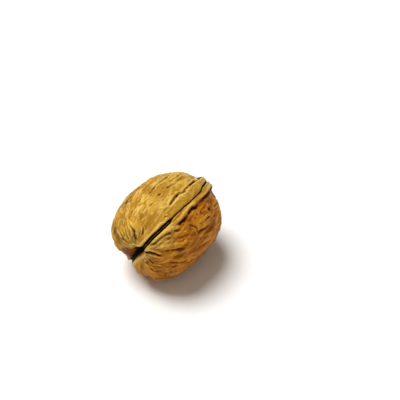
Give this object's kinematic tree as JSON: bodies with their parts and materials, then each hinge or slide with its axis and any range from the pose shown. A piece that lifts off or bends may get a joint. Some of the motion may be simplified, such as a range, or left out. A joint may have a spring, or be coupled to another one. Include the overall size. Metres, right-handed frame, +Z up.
{
  "type": "walnut in its shell",
  "caption": "Whole unshelled walnut, egg-shaped with a wrinkled woody shell, a raised seam keel, and a seam gap that opens at the stem end.",
  "frame": {"origin": "middle of the small flat spot the nut rests on", "axes": "+X along the nut from the stem end to the pointed tip, +Z up from the table; the plane of the seam leans 29 degrees from upright, with the upper seam towards -Y"},
  "size_m": [0.0402, 0.0342, 0.0343],
  "materials": {
    "shell": "satin, wrinkled natural nutshell"
  },
  "bodies": {
    "root": {"walnut": "shell"}
  },
  "joints": []
}
